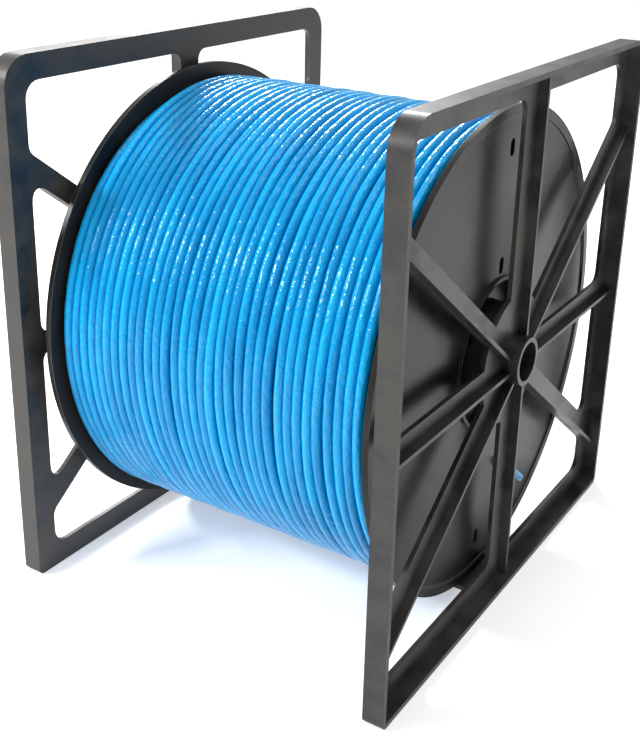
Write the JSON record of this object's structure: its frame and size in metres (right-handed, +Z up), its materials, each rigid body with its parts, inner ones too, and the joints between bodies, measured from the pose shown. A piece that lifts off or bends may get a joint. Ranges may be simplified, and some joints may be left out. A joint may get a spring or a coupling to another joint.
{
  "type": "wire spool",
  "caption": "Full reel of blue data cable on a flanged drum that turns between two square ribbed plastic side frames joined by a floor plate.",
  "frame": {"origin": "on the floor below the middle of the stand, at the centre of the bottom of the bounding box", "axes": "+X along the drum's axis towards the frame with the cable's inner end, +Y towards the rear, +Z up"},
  "size_m": [0.33, 0.4, 0.41],
  "materials": {
    "frame_plastic": "satin moulded",
    "plate_plastic": "satin moulded",
    "collar_plastic": "satin moulded",
    "drum_plastic": "semi-gloss moulded",
    "cable_jacket": "gloss jacket"
  },
  "bodies": {
    "stand": {"right_side_frame": "frame_plastic", "left_side_frame": "frame_plastic", "base_cross_plate": "plate_plastic", "right_bearing_collar": "collar_plastic", "left_bearing_collar": "collar_plastic"},
    "drum": {"right_flange": "drum_plastic", "left_flange": "drum_plastic", "barrel": "drum_plastic", "cable_core": "cable_jacket", "cable_winding": "cable_jacket", "cable_inner_end": "cable_jacket"}
  },
  "joints": [
    {"name": "drum_spin", "type": "hinge", "parent": "stand", "child": "drum", "pos_m": [0, 0, 0.195], "axis": [1, 0, 0], "continuous": true}
  ]
}
